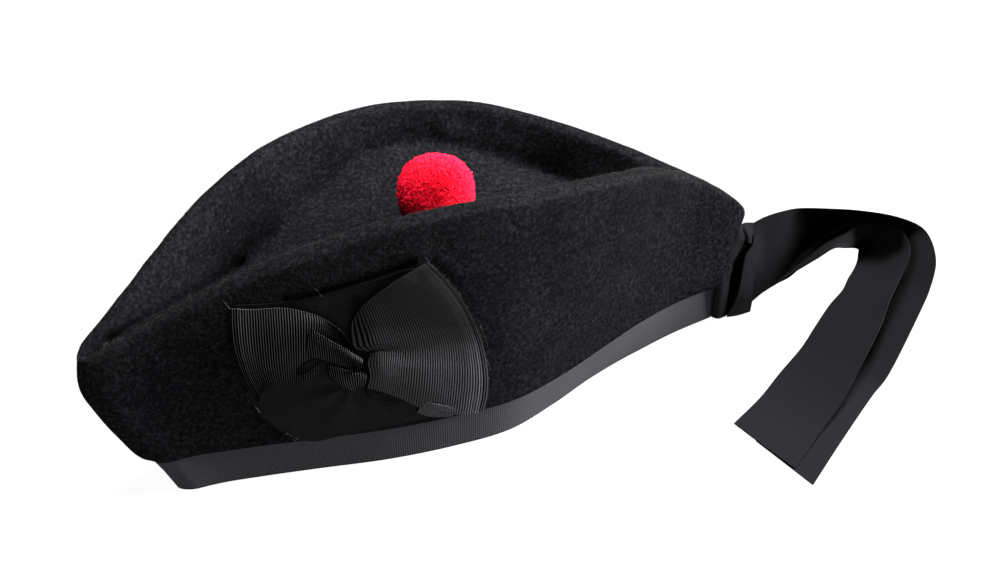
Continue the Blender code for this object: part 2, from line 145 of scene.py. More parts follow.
# The wool ball: a little smaller than its solid, a little lower and further right, and a little squared.
# Its cut yarn ends reach out unevenly and in clumps, and a few stand out astray.
BALL_TRIM = 0.975
BALL_SUNK = 0.0018
BALL_ASIDE = 0.0008
BALL_SQUARE = 2.3
CORE_SHARE = 0.93
ROOT_SHARE = 0.86
YARN_ENDS = 30000
YARN_WIDTH = 0.00019
YARN_UNEVEN = 0.00022
CLUMPS = 5.0
CLUMP_REACH = 0.02
LEAN_SPREAD = 0.06
LEAN_SHARE = 0.3
ASTRAY_SHARE = 0.03
ASTRAY_REACH = (0.0003, 0.0011)
ASTRAY_WIDTH = 0.00006

# How a subdivided copy of a solid is let out until it reaches the solid's own points
SMOOTH_LEVELS = 2
LET_OUT_ROUNDS = 5
LET_OUT_SHARE = 0.9

# The felt: where its faces are made smaller, and the unevenness of blocked felt above its stiff hem, as
# the width of each wave and how far it reaches
REFINE_WIDE = 12
REFINE_FROM = 0.4
UNEVEN_SEED = 4
UNEVEN = ((0.03, 0.0008), (0.011, 0.00025))
STIFF_TO = 0.028
FREE_OVER = 0.03
RIM_BLEND = 0.0015

# The felt's loose nap: its fibres, and how it thins down the sides and reaches round the ridges' crests
NAP_WIDTH = 0.00003
NAP_SUNK = 0.0001
NAP_SHORTEST = 0.0006
NAP_ON_SIDES = 0.12
RIM_REACH = 0.0085
RIM_DOWN = 0.3
FOOT_FACES = 0.0004
WOOL = [(0.0, "#070709"), (0.8, "#141417"), (0.97, "#232327"), (1.0, "#4a4744")]
# Paler wool for the nap on upward faces: painted light on the felt's top.
TOP_LIGHT_WOOL = [(0.0, "#101012"), (0.8, "#202023"), (0.97, "#303034"), (1.0, "#55524e")]
WARM_WOOL = [(0.0, "#1b1a18"), (0.8, "#312f2b"), (0.97, "#49453e"), (1.0, "#6c665b")]


def columns(names, *rows):
    """A table of rows as a dictionary of its named columns."""
    return dict(zip(names, zip(*rows)))


SECTIONS = columns(
    ("along", "opening", "height", "spread"),
    (0.0, 0.14, 0.583, 0.125),
    (0.06, 0.2, 0.689, 0.232),
    (0.12, 0.33, 0.776, 0.378),
    (0.2, 0.53, 0.88, 0.591),
    (0.3, 0.79, 0.964, 0.793),
    (0.4, 0.95, 1, 0.936),
    (0.5, 1.0, 0.994, 1),
    (0.6, 0.79, 0.967, 0.953),
    (0.7, 0.51, 0.903, 0.765),
    (0.8, 0.3, 0.785, 0.428),
    (0.9, 0.17, 0.64, 0.184),
    (0.96, 0.15, 0.528, 0.135),
    (1.0, 0.14, 0.428, 0.121),
)
NAPS = columns(
    ("name", "count", "longest", "rise", "stops", "seed"),
    ("felt_nap", 34000, 0.0014, (0.15, 0.8), WOOL, 11),
    ("ridge_nap", 26000, 0.0013, (0.3, 0.95), TOP_LIGHT_WOOL, 12),
    ("rim_nap", 24000, 0.0014, (0.3, 0.95), WARM_WOOL, 13),
)
LAMPS = columns(
    ("name", "way", "energy", "soft"),
    ("key", (0.882, -0.356, 0.309), 18.5, 25),
    ("top", (0.1, -0.1, 1.0), 12.5, 25),
)

# Loose threads at the bow's ends, as two pixels and the first one's height in mm, and pale stitches on the
# backing, as two pixels
LOOSE_THREADS = (
    ((231, 310), (222, 300), 1.6), ((229, 309), (224, 303), 1.6), ((322, 297), (314, 288), 1.4),
    ((432, 265), (441, 276), 2.2), ((455, 288), (463, 300), 2.4), ((480, 325), (489, 350), 2.2),
    ((429, 263), (424, 257), 2.2), ((487, 360), (492, 374), 2.4), ((250, 388), (246, 398), 1.6),
)
STITCHES = (((249, 399), (263, 417)), ((285, 432), (303, 445)))

# The rosette's sheets, each a net of places: pixels of the picture, and the height off the felt in mm.
# A net's rows go along the ribbon and its columns across it.
BACKING_NET = (
    ((236, 305, 0.7), (236, 330, 0.8), (239, 353, 0.8), (243, 377, 0.8), (250, 399, 0.7)),
    ((262, 304, 0.8), (262, 332, 1), (262, 360, 1), (262, 388, 1), (262, 416, 0.8)),
    ((290, 302, 0.8), (290, 336, 1), (290, 369, 1.1), (290, 402, 1.1), (290, 435, 0.8)),
    ((315, 297, 0.8), (315, 333, 1), (315, 369, 1.2), (314, 405, 1.2), (314, 441, 0.8)),
    ((345, 289, 0.8), (345, 326, 1), (345, 362, 1.2), (344, 399, 1.4), (344, 435, 0.8)),
    ((380, 279, 0.8), (380, 316, 1), (380, 353, 1), (380, 390, 1.2), (380, 427, 0.8)),
    ((412, 269, 0.8), (412, 307, 0.8), (412, 345, 0.8), (412, 383, 1), (412, 421, 0.8)),
    ((440, 274, 0.7), (440, 310, 0.8), (440, 345, 0.8), (440, 381, 0.8), (440, 416, 0.8)),
    ((466, 304, 0.7), (466, 331, 0.8), (466, 359, 0.8), (466, 386, 0.8), (466, 413, 0.7)),
    ((482, 334, 0.7), (485, 353, 0.7), (487, 372, 0.7), (487, 391, 0.7), (484, 411, 0.7)),
)
LEFT_WING_NET = (
    ((231, 309, 1.5), (231.5, 328, 1.7), (234, 348, 1.8), (240, 368, 1.8), (248, 386, 1.7), (258, 402, 1.5)),
    ((254, 309.5, 2), (255, 326, 2.8), (256, 343, 3.2), (258, 360, 3), (261, 374, 2.4), (266, 388, 1.7)),
    ((280, 308, 2.2), (281, 324, 3.6), (282, 340, 4.2), (283, 355, 3.4), (284, 370, 2), (286, 386, 1.7)),
    ((302, 311, 2.2), (303, 322, 3.8), (303, 336, 4.4), (303, 350, 3.4), (303, 364, 1.1), (303, 381, 1.9)),
    ((322, 318, 2.4), (323, 325, 3.3), (322, 334, 3.2), (321, 346, 2.4), (321, 357, 0.9), (321, 372, 2.2)),
    ((340, 330, 2.3), (341, 336, 2.4), (342, 343, 2.1), (341, 350, 1.4), (340, 358, 0.8), (338, 367, 1.6)),
    ((350, 343, 1.7), (351, 347, 1.7), (352, 352, 1.5), (353, 357, 1.5), (354, 362, 1.5), (355, 367, 1.4)),
)
PLEAT_NET = (
    ((306, 325, 3.6), (307, 337, 4.2), (308, 349, 4), (309, 357, 3.2)),
    ((319, 333.5, 4.4), (320, 343, 5), (321, 352, 4.6), (322, 359.5, 3.4)),
    ((333, 342, 5), (334, 349, 5.6), (335, 356, 5.2), (336, 363.5, 3.6)),
    ((348, 350, 5), (349, 356, 5.8), (350, 362, 5.4), (351, 368.5, 3.6)),
    ((363, 359.5, 4), (363, 363, 4.8), (362.5, 367, 4.6), (361, 371.5, 3.2)),
)
KNOT_NET = (
    ((327, 366, 1.8), (328, 370, 2), (329, 375, 1.9), (331, 380, 1.4)),
    ((340, 368, 2.4), (341, 373.5, 3.2), (342, 380, 3), (344, 387.5, 1.6)),
    ((352, 370.5, 3.2), (353, 376, 4.6), (354, 383, 4.4), (356, 391, 2.2)),
    ((367, 373, 3.4), (367, 377.5, 4.6), (366, 383, 4.4), (363.5, 389, 2.6)),
)
RIGHT_WING_NET = (
    ((428, 262, 3.8), (446, 279.5, 3.7), (462, 300, 3.5), (474, 322, 3), (481, 339, 2.2),
     (485, 354, 2.5), (488, 373, 2.8), (488, 392, 2.6), (484, 411, 2)),
    ((414, 270, 4.2), (429, 287, 4), (443, 307, 3.7), (452, 326, 3.3), (457, 341, 2.2),
     (459, 355, 2.9), (460, 372, 3.5), (459, 391, 3.4), (456, 414.5, 2.4)),
    ((399, 279, 4.2), (410, 295, 4.1), (419, 313, 3.9), (426, 331, 3.6), (429, 345.5, 2.6),
     (430, 356.5, 3.3), (430, 371, 4.2), (429, 389, 4.1), (426, 409.5, 2.8)),
    ((380, 292, 3.8), (387, 307, 4), (393, 323, 4.1), (399, 339, 4.2), (402, 349, 2.7),
     (402, 356, 3.4), (401, 366, 4.4), (400, 380, 4.4), (398, 397, 3)),
    ((362, 307, 3), (366, 318, 3.8), (371, 331, 4.2), (375, 344, 4.4), (379, 350, 2),
     (380, 353.5, 3.6), (380, 363, 4.5), (381, 376, 4.4), (379, 390.5, 2.6)),
    ((352, 322, 1.8), (351, 330, 2.8), (351.5, 339, 3.2), (354, 347.5, 3.2), (368, 351.5, 1.4),
     (370, 354.5, 3), (367.5, 363, 3.6), (370, 376, 3.4), (367, 388, 1.8)),
)
TUCK_NET = (
    ((366, 389, 2), (367.5, 393, 2.6), (371, 398, 1.7)),
    ((380, 390.5, 2.4), (382, 395, 3), (385, 400.5, 1.7)),
    ((398, 393, 2.4), (399, 398, 2.8), (400, 403, 1.7)),
)
ROLL_NET = (
    ((417, 412, 1.7), (420, 407, 2.6), (425, 402, 3.2)),
    ((427, 415.5, 1.7), (430, 409.5, 3.2), (435, 403.5, 4.2)),
    ((438, 416.5, 1.7), (441, 411, 3.2), (446, 405.5, 4)),
    ((452, 416, 1.7), (454, 412.5, 2.8), (457, 409, 3.2)),
)


# Lines of pixels. Creases of the crown: just behind the left ridge, and round the crown's floor
RIM_CREASE = (
    (108, 341), (118, 337), (127, 332), (143, 323), (163, 311), (185, 297), (210, 283), (240, 263),
)
CROWN_CREASE = (
    (236, 264), (262, 243), (281, 228), (299, 204), (320, 188), (346, 160), (382, 143), (430, 134),
)

# Lines of the felt round the rosette: above the backing, and along the left and right wings' ends
PATCH_CREASE = ((284, 299), (310, 294.5), (335, 288), (360, 280.5), (385, 272.5), (412, 263))
# The left wing's end line is no crease: along it the felt only takes painted shade.
HEM_SHADE_LINE = ((229, 308), (229, 330), (232, 352), (238, 372), (247, 392), (257, 408))
WING_CREASE = ((432, 261), (450, 278), (466, 298), (479, 321), (487, 345), (491, 372), (491, 400))

# How deep each crease is pushed in, in m, how wide in pixels, and whether it lies beyond the left ridge.
# Then how strongly painted shade darkens the felt along each ribbon edge, and how wide in pixels.
CREASES = columns(
    ("line", "deep", "wide", "beyond"),
    (RIM_CREASE, 0.0036, 4.4, True),
    (CROWN_CREASE, 0.0021, 10.0, True),
    (PATCH_CREASE, 0.0022, 2.6, False),
    (WING_CREASE, 0.0012, 2.2, False),
)
EDGE_SHADE_LINES = columns(
    ("line", "share", "wide"),
    (PATCH_CREASE, 1, 3.8),
    (WING_CREASE, 0.8, 2.4),
    (HEM_SHADE_LINE, 0.8, 2.4),
)

# Painted shade on the cloth, lines of pixels: the backing's pinch, a painted shadow on the outer tail beside
# the inner one's edge, and the foot of the painted shade inside the inner tail's curl. Widths are in pixels.
PINCH_LINE = ((356, 300), (353, 322), (352, 345), (362, 359), (371, 372), (369, 388), (385, 396))
PINCH_WIDE = 6
PATCH_SHADE_WIDE = 5
TAIL_SHADE = (
    (898, 226), (909, 238), (913, 254), (909, 272), (901, 293), (892, 312), (880, 334), (868, 356),
)
TAIL_SHADE_WIDE = 5.0
TAIL_SHADE_DARK = 0.8
CURL_FOOT = ((855, 880, 906), (264, 263, 250))
CURL_BLUR = 14
CURL_LEFT = (849, 857)
CURL_RIGHT = (908, 901)
CURL_DARK = 0.92
# Where the painted shade on the outer tail's underside at the bend fades in, in pixel columns and rows, and
# how dark
BEND_LEFT = (788, 810)
BEND_RIGHT = (908, 894)
BEND_FOOT = (252, 244)
BEND_DARK = 0.85

# The tie's sheets, nets of pixels and of depths in mm behind the picture's plane. Rows go upwards.
TIE_LEFT_NET = (
    ((711, 316.5, 64.5), (717.5, 318.5, 65.5), (724.5, 316.5, 69)),
    ((714.5, 299, 58.5), (721, 300, 60), (727.5, 297, 64)),
    ((718.5, 281.5, 53.5), (724, 282, 55), (729, 279.5, 58.5)),
    ((723, 266, 52), (728.5, 266, 53.5), (733, 262, 57)),
    ((729, 253, 50.5), (734, 252, 52), (739.5, 250.5, 55.5)),
    ((733, 241, 51), (738, 239, 51), (744, 241, 53.5)),
    ((736.5, 231, 50.7), (740, 228.5, 51), (745, 231.5, 54)),
    ((738.5, 226, 51.5), (741, 224, 52.6), (745, 223.5, 55.5)),
)
TIE_RIGHT_NET = (
    ((726.5, 317, 67), (737, 315.5, 68.5), (750, 311.5, 73)),
    ((733, 306, 65.5), (743, 303, 67.5), (752, 300, 71)),
    ((737.5, 296, 63.5), (746, 291, 65.5), (753, 287, 69)),
    ((740.5, 284, 62), (747, 278, 63.8), (753.5, 272, 67)),
    ((743, 268, 60), (748.5, 262, 61.2), (753.5, 256, 64)),
    ((746, 254, 58.5), (750.5, 250, 59.8), (754, 246, 61.5)),
    ((751, 248, 58.5), (753.5, 244, 59), (755, 240.5, 60)),
)
TIE_INSIDE_NET = (
    ((724.5, 316.5, 68.5), (727, 315, 70.5), (727.5, 316.5, 67.8)),
    ((727.5, 297, 64), (731, 300, 72), (736, 301, 66.2)),
    ((729, 279.5, 58.5), (735, 283, 69), (741.5, 283, 62.8)),
    ((733, 262, 57), (739, 266, 66), (744.5, 266, 60.8)),
    ((739.5, 250.5, 55.5), (743, 254, 62), (748, 252, 59.6)),
    ((744, 243, 54.5), (746, 246, 59.5), (752.5, 246, 59.3)),
    ((744, 234, 55.5), (748, 234, 58.5), (754, 235, 59.3)),
)
FOLD_NET = (
    ((739, 226, 53), (745, 222.8, 54), (753, 222.5, 57)),
    ((741.5, 230, 52.5), (746, 228, 53), (752.5, 229, 57.5)),
    ((745, 236, 53.5), (748.5, 235, 53.8), (752, 236, 58)),
    ((748, 243, 55.5), (749.5, 243, 56), (751, 243, 58.5)),
)

# The tails, nets of pixels and of heights in mm over the floor. Rows go along each tail from the tie.
OUTER_TAIL_NET = (
    ((750, 303, 3.5), (751.5, 262, 25), (752.5, 223.5, 42.5)),
    ((762, 293, 6.5), (763, 253, 26), (765, 217, 44)),
    ((777, 283.5, 7.5), (779, 247, 26), (782, 211.5, 44)),
    ((792, 275, 6), (797, 240, 25), (800, 208.3, 42.5)),
    ((816, 252, 10), (822, 229.5, 26), (828, 208.8, 41)),
    ((844, 235, 13), (851, 221.5, 26), (859, 210.7, 38)),
    ((868, 231, 15.5), (880, 223.5, 26), (893, 216, 36)),
    ((880, 240, 15.5), (899, 235.5, 23.5), (919, 225.5, 32)),
    ((884, 254, 14.5), (907, 249, 22), (931, 239.5, 29)),
    ((882, 266, 13.5), (908, 264, 20), (936, 262, 26)),
    ((876, 282, 11), (903, 284, 16), (930.5, 287, 21)),
    ((862, 302, 8), (889, 310, 12.5), (919.5, 313, 16)),
    ((836, 338, 3), (863, 355, 3.6), (890, 372, 4)),
    ((819, 360, 1), (845, 378, 1), (871, 397.5, 1)),
    ((784, 402, 0.6), (812, 423, 0.6), (840.5, 442.5, 0.6)),
    ((756, 441, 0.6), (784, 462.5, 0.6), (813, 485, 0.6)),
)
INNER_TAIL_NET = (
    ((762, 291, 6), (764, 288, 6.5), (767, 285, 7)),
    ((779, 281.5, 9.5), (782, 278, 9.3), (785, 275, 9)),
    ((797, 270.5, 19), (800, 266, 17), (803, 260, 13.5)),
    ((818, 258, 27), (822, 249.5, 24), (825, 239.5, 19)),
    ((834, 248.3, 29), (840, 239, 27), (846, 228.5, 24)),
    ((846, 248, 27.5), (850, 238, 27.5), (853, 226.5, 29)),
    ((857.5, 249, 22), (862, 240, 27.5), (868, 225.3, 34)),
    ((858, 255, 18.5), (874, 246, 25.5), (888, 226, 35)),
    ((857, 262, 17), (882, 254, 23.5), (903, 232.5, 35)),
    ((853.5, 270, 16.5), (881, 266, 21), (910, 250, 30)),
    ((848, 279, 15.5), (875, 281, 19), (903, 272, 24.5)),
    ((842, 291, 14), (867, 296, 18), (890, 301, 22)),
    ((829, 306, 11.5), (855, 313, 15.5), (883, 321, 19.5)),
    ((815, 327, 9), (842, 335, 12.5), (873.5, 342, 16.5)),
    ((801, 348.5, 6), (828, 358, 9), (861, 366, 12)),
    ((780, 373, 3.5), (809, 387, 5), (843, 400, 6.5)),
    ((760, 398, 2.2), (790, 415, 2.6), (822, 430, 3)),
    ((734, 423.5, 1.6), (764, 446, 1.6), (795, 468.5, 1.6)),
)


# ---- shaping

def select_only(piece):
    """Nothing selected but this piece, which is the active one."""
    bpy.ops.object.select_all(action="DESELECT")
    piece.select_set(True)
    bpy.context.view_layer.objects.active = piece


def to_scene(name, data, behind=None):
    """A new object of the scene. The back of a lamp or camera is turned to the direction behind it."""
    made = bpy.data.objects.new(name, data)
    if behind is not None:
        made.rotation_mode = "QUATERNION"
        made.rotation_quaternion = Vector(behind).to_track_quat("Z", "Y")
    bpy.context.scene.collection.objects.link(made)
    return made


def mark(mesh, name, values, kind="FLOAT", field="value"):
    """Gives each of a mesh's points a named value."""
    made = mesh.attributes.new(name, kind, "POINT")
    made.data.foreach_set(field, np.asarray(values, np.float32).ravel())


def new_piece(name, points, faces, finish, weave=None, shade=None):
    """A smooth mesh object, with its cloth's places in mm or its fibres' shades as an attribute."""
    mesh = bpy.data.meshes.new(name)
    mesh.from_pydata(points, [], faces, shade_flat=False)
    if weave is not None:
        mark(mesh, "weave", weave, "FLOAT_VECTOR", "vector")
    else:
        mark(mesh, "shade", shade)
    mesh.materials.append(finish)
    return to_scene(name, mesh)


def resample(values, steps):
    """Values along the first axis at even steps, on a smooth curve through the given ones."""
    values = np.asarray(values, float)
    place = np.linspace(0, len(values) - 1, steps)
    i = np.minimum(place.astype(int), len(values) - 2)
    t = (place - i).reshape(-1, *([1] * (values.ndim - 1)))
    before, after = 2 * values[:1] - values[1:2], 2 * values[-1:] - values[-2:-1]
    row = np.concatenate([before, values, after])
    p0, p1, p2, p3 = row[i], row[i + 1], row[i + 2], row[i + 3]
    cubic = (3 * (p1 - p2) + p3 - p0) * t ** 3
    return (cubic + (2 * p0 - 5 * p1 + 4 * p2 - p3) * t ** 2 + (p2 - p0) * t + 2 * p1) / 2


def smooth_net(net, rows, across):
    """A net of points filled in to rows by across points on a smooth surface."""
    filled = resample(net, rows)
    return resample(filled.swapaxes(0, 1), across).swapaxes(0, 1)


def unit(ways):
    """Directions brought to a length of 1."""
    return ways / np.maximum(norm(ways, axis=-1, keepdims=True), 1e-12)


def grid_normals(grid):
    """The direction straight off a grid of points, at each point."""
    return unit(np.cross(np.gradient(grid, axis=0), np.gradient(grid, axis=1)))


def lengths_along(grid):
    """How far each row of a grid lies along the ribbon, measured down its middle."""
    middle = grid[:, grid.shape[1] // 2]
    steps = norm(np.diff(middle, axis=0), axis=1)
    return np.concatenate([[0], np.cumsum(steps)])


def widths_across(grid):
    """How far each point of a grid lies from the ribbon's first edge."""
    steps = norm(np.diff(grid, axis=1), axis=2)
    return np.concatenate([np.zeros((len(grid), 1)), np.cumsum(steps, axis=1)], axis=1)


def grid_faces(rows, across, first=0):
    """Quads between neighbouring points of a grid whose points are numbered row by row."""
    i = np.arange(rows - 1)[:, None] * across + np.arange(across - 1)[None, :] + first
    return np.stack([i, i + across, i + across + 1, i + 1], axis=-1).reshape(-1, 4)


def even_rows(grid, spacing):
    """A grid with its rows moved to even distances along the ribbon."""
    along = lengths_along(grid)
    count = max(8, int(round(along[-1] / spacing)) + 1)
    wanted = np.linspace(0, along[-1], count)
    flat = grid.reshape(len(grid), -1)
    moved = np.stack([np.interp(wanted, along, flat[:, k]) for k in range(flat.shape[1])], axis=1)
    return moved.reshape(count, *grid.shape[1:]), wanted


def eased(share):
    """A share from 0 to 1 with soft ends."""
    return share * share * (3 - 2 * share)


def rib_crown(along):
    """How high the ribs stand at places counted in ribs, about their middle height."""
    return np.abs(np.sin(math.pi * along)) - RIB_MIDDLE


def ribbed_sheet(net, rows, across, relief):
    """A ribbon surface with its ribs modelled: points, and their places along and across in mm."""
    grid, along = even_rows(smooth_net(net, rows, across), RIB / RIB_STEPS)
    grid = grid + grid_normals(grid) * (relief * 2 * rib_crown(along / RIB))[:, None, None]
    weave = np.zeros_like(grid)
    weave[:, :, 0] = along[:, None] / MM
    weave[:, :, 1] = widths_across(grid) / MM
    return grid, weave


def join_grids(name, sheets, finish):
    """One piece of several ribbon surfaces, each given its cloth's thickness."""
    points, weaves, faces, first = [], [], [], 0
    for grid, weave in sheets:
        points.append(grid.reshape(-1, 3))
        weaves.append(weave.reshape(-1, 3))
        faces.append(grid_faces(*grid.shape[:2], first))
        first += grid.shape[0] * grid.shape[1]
    piece = new_piece(name, np.concatenate(points), np.concatenate(faces), finish,
                      np.concatenate(weaves))
    cloth = piece.modifiers.new("cloth", "SOLIDIFY")
    cloth.thickness, cloth.offset = RIBBON, 0
    select_only(piece)
    bpy.ops.object.modifier_apply(modifier=cloth.name)
    bpy.ops.object.shade_smooth_by_angle(angle=math.radians(60))
    return piece


def needles(name, roots, tips, width, finish, shade, wide_tip=False):
    """Many thin closed fibres, each a root and a tip, with one shade for each in an attribute."""
    roots, tips = np.asarray(roots, float), np.asarray(tips, float)
    count = len(roots)
    way = unit(tips - roots)
    helper = np.where(np.abs(way[:, 2:3]) < 0.8, [[0, 0, 1.0]], [[1.0, 0, 0]])
    side = unit(np.cross(way, helper))
    other = np.cross(way, side)
    thick, thin = (tips, roots) if wide_tip else (roots, tips)
    width = np.broadcast_to(width, (count,))[:, None]
    ring = [thick + (side * math.cos(a) + other * math.sin(a)) * width
            for a in (0, 2 * math.pi / 3, 4 * math.pi / 3)]
    points = np.stack([*ring, thin], axis=1).reshape(-1, 3)
    order = np.array(((0, 1, 3), (1, 2, 3), (2, 0, 3), (0, 2, 1)))
    if wide_tip:
        order = order[:, ::-1]
    faces = (np.arange(count)[:, None, None] * 4 + order).reshape(-1, 3)
    return new_piece(name, points, faces, finish, shade=np.repeat(shade, 4))


def sight(px, py):
    """The direction of the line of sight through a pixel of the picture."""
    across = (px - PICTURE[0] / 2) / PICTURE[0] * SENSOR_MM / LENS_MM
    up = (PICTURE[1] / 2 - py) / PICTURE[0] * SENSOR_MM / LENS_MM
    return (RIGHT * across + UP * up - BACK).normalized()


def over(surface, px, py, lift):
    """The point on a pixel's line of sight that stands so far off the surface."""
    way = sight(px, py)
    place, normal, _, _ = surface.ray_cast(EYE, way)
    higher = py
    while place is None:
        higher -= 1
        near, normal, _, _ = surface.ray_cast(EYE, sight(px, higher))
        if near is not None:
            place = EYE + way * ((near - EYE).dot(normal) / way.dot(normal))
    return place - way * lift / max(0.35, -way.dot(normal))


def net_points(surface, net):
    """A net's points in space."""
    return np.array([[over(surface, px, py, lift * MM) for px, py, lift in row] for row in net])


def read_points(mesh, count=None):
    """A mesh's vertices as an array, or the first few of them."""
    points = np.zeros(len(mesh.vertices) * 3, np.float32)
    mesh.vertices.foreach_get("co", points)
    return points.reshape(-1, 3)[:count].astype(float)


def write_points(mesh, points):
    """Moves a mesh's vertices."""
    mesh.vertices.foreach_set("co", np.asarray(points, np.float32).ravel())
    mesh.update()


def cad_copy(name, node):
    """A refined copy of a solid's mesh: its loose triangles merged, made quads and subdivided.

    The subdivided surface would draw in at every bend, so the copy is let out first, until the
    surface passes through the solid's own points.
    """
    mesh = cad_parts[node].data.copy()
    mesh.name = name
    mesh.materials.clear()
    piece = to_scene(name, mesh)
    select_only(piece)
    bpy.ops.object.mode_set(mode="EDIT")
    bpy.ops.mesh.select_all(action="SELECT")
    bpy.ops.mesh.remove_doubles(threshold=0.00001)
    flat = math.radians(60)
    bpy.ops.mesh.tris_convert_to_quads(face_threshold=flat, shape_threshold=flat)
    bpy.ops.object.mode_set(mode="OBJECT")
    wanted = read_points(mesh)
    cage = wanted.copy()
    smooth = piece.modifiers.new("smooth", "SUBSURF")
    smooth.levels = smooth.render_levels = SMOOTH_LEVELS
    for _ in range(LET_OUT_ROUNDS):
        write_points(mesh, cage)
        graph = bpy.context.evaluated_depsgraph_get()
        shown = piece.evaluated_get(graph).data
        cage += (wanted - read_points(shown, len(wanted))) * LET_OUT_SHARE
    write_points(mesh, cage)
    select_only(piece)
    bpy.ops.object.modifier_apply(modifier=smooth.name)
    bpy.ops.object.shade_smooth()
    return piece


def place_piece(piece, node):
    """The piece rides on the hat, and stands for a solid if one is named."""
    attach(piece, "root")
    if node:
        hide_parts(node)
    return piece


# ---- materials

def linear(hex_colour, alpha=1.0):
    """An sRGB hex colour as linear light."""
    parts = [int(hex_colour[i:i + 2], 16) / 255 for i in (1, 3, 5)]
    return (*(p / 12.92 if p <= 0.04045 else ((p + 0.055) / 1.055) ** 2.4 for p in parts), alpha)


def start_material(name):
    """A new material and its tree."""
    made = bpy.data.materials.new(name)
    made.use_nodes = True
    return made, made.node_tree


def add_node(tree, kind, settings=None, inputs=None):
    """A node with its settings, each input set to a value or linked to another node's output."""
    made = tree.nodes.new(kind)
    for name, value in (settings or {}).items():
        setattr(made, name, value)
    for socket, value in (inputs or {}).items():
        if isinstance(value, bpy.types.NodeSocket):
            tree.links.new(value, made.inputs[socket])
        else:
            made.inputs[socket].default_value = value
    return made


def reckon(tree, operation, *terms):
    """The result of a sum."""
    return add_node(tree, "ShaderNodeMath", {"operation": operation}, dict(enumerate(terms))).outputs[0]


def mixed(tree, share, first, second, **settings):
    """Two colours mixed by a share."""
    made = add_node(tree, "ShaderNodeMix", {"data_type": "RGBA", **settings},
                    {"Factor": share, "A": first, "B": second})
    return made.outputs["Result"]


def attribute(tree, name, output):
    """What a mesh's attribute says."""
    return add_node(tree, "ShaderNodeAttribute", {"attribute_name": name}).outputs[output]


def grain(tree, size, detail, roughness=0.5):
    """Noise of a size in metres, fixed to the object."""
    place = add_node(tree, "ShaderNodeTexCoord").outputs["Object"]
    return add_node(tree, "ShaderNodeTexNoise", inputs={
        "Vector": place, "Scale": 1 / size, "Detail": detail, "Roughness": roughness}).outputs["Fac"]


def ramp(tree, source, stops):
    """A colour ramp of (place, hex colour) stops."""
    made = add_node(tree, "ShaderNodeValToRGB", inputs={"Fac": source})
    ends = made.color_ramp.elements
    ends[0].position, ends[0].color = stops[0][0], linear(stops[0][1])
    ends[1].position, ends[1].color = stops[-1][0], linear(stops[-1][1])
    for place, colour in stops[1:-1]:
        ends.new(place).color = linear(colour)
    return made.outputs["Color"]


def finished(made, colour, roughness, specular, height=None, strength=0.0, distance=0.0):
    """The material with its colour, how matt it is, and a fine relief too small to model."""
    tree = made.node_tree
    shader = tree.nodes["Principled BSDF"]
    tree.links.new(colour, shader.inputs["Base Color"])
    shader.inputs["Roughness"].default_value = roughness
    shader.inputs["Specular IOR Level"].default_value = specular
    if height:
        relief = add_node(tree, "ShaderNodeBump", inputs={
            "Strength": strength, "Distance": distance, "Height": height})
        tree.links.new(relief.outputs["Normal"], shader.inputs["Normal"])
    return made


def wool_felt():
    """Milled wool felt: no gloss, a matted grain, and painted shade along the ribbons' edges."""
    made, tree = start_material("milled_wool_felt")
    matted = grain(tree, 0.0016, 6.0, 0.75)
    clouds = grain(tree, 0.02, 3.0, 0.6)
    both = reckon(tree, "MULTIPLY_ADD", matted, 0.88, reckon(tree, "MULTIPLY", clouds, 0.12))
    wool = ramp(tree, both, [(0.32, "#030303"), (0.5, "#0d0d0f"), (0.68, "#1f1f22")])
    # Painted shade: the felt turns near black along the ribbons' edges.
    colour = mixed(tree, attribute(tree, "painted_edge_shade", "Fac"), wool, linear("#020202"))
    return finished(made, colour, 0.95, 0.0, matted, strength=0.7, distance=0.0005)


def wool_fibre(name, stops):
    """Single wool fibres: matt, with a little difference in colour from one to the next."""
    made, tree = start_material(name)
    return finished(made, ramp(tree, attribute(tree, "shade", "Fac"), stops), 0.9, 0.03)


def wool_core():
    """The clipped wool seen between the yarn ends."""
    made, tree = start_material("cut_wool_core")
    return finished(made, ramp(tree, grain(tree, 0.001, 4.0), [(0.3, "#c0081e"), (0.7, "#e40e2c")]),
                    0.95, 0.03)


def grosgrain(name, groove, thread, turned, contrast, deep=0.25, edge=None):
    """Grosgrain ribbon: ribs across its length, with painted shade in the grooves, and a fine thread over
    each.

    The weave attribute says the place along and across in mm, and the share of plain edge colour or painted
    shade.
    """
    made, tree = start_material(name)
    weave = attribute(tree, "weave", "Vector")
    along, _, turn = add_node(tree, "ShaderNodeSeparateXYZ", inputs={"Vector": weave}).outputs
    wave = reckon(tree, "SINE", reckon(tree, "MULTIPLY", along, math.pi / (RIB / MM)))
    stretched = add_node(tree, "ShaderNodeMapping", inputs={"Vector": weave, "Scale": (1.1, 3.0, 1.0)})
    threads = add_node(tree, "ShaderNodeTexNoise", inputs={
        "Vector": stretched.outputs[0], "Scale": 1.0, "Detail": 3.0, "Roughness": 0.6}).outputs["Fac"]
    uneven = reckon(tree, "MULTIPLY_ADD", threads, 0.4, -0.2)
    height = reckon(tree, "MULTIPLY_ADD", reckon(tree, "ABSOLUTE", wave), contrast, uneven)
    lifted = reckon(tree, "ADD", height, 0.75 - 0.64 * contrast)
    # The groove colour is painted shade between the ribs.
    colour = ramp(tree, lifted, [(deep, groove), (1.0, thread)])
    if edge:
        tone = ramp(tree, reckon(tree, "MULTIPLY", along, 0.1), edge)
        colour = mixed(tree, 1.0, colour, tone, blend_type="MULTIPLY")
    # Turned towards the band's plain edge colour, or towards painted shade on the bow and the tails.
    colour = mixed(tree, turn, colour, linear(turned))
    return finished(made, colour, 0.62, 0.0, threads, strength=0.35, distance=0.00012)


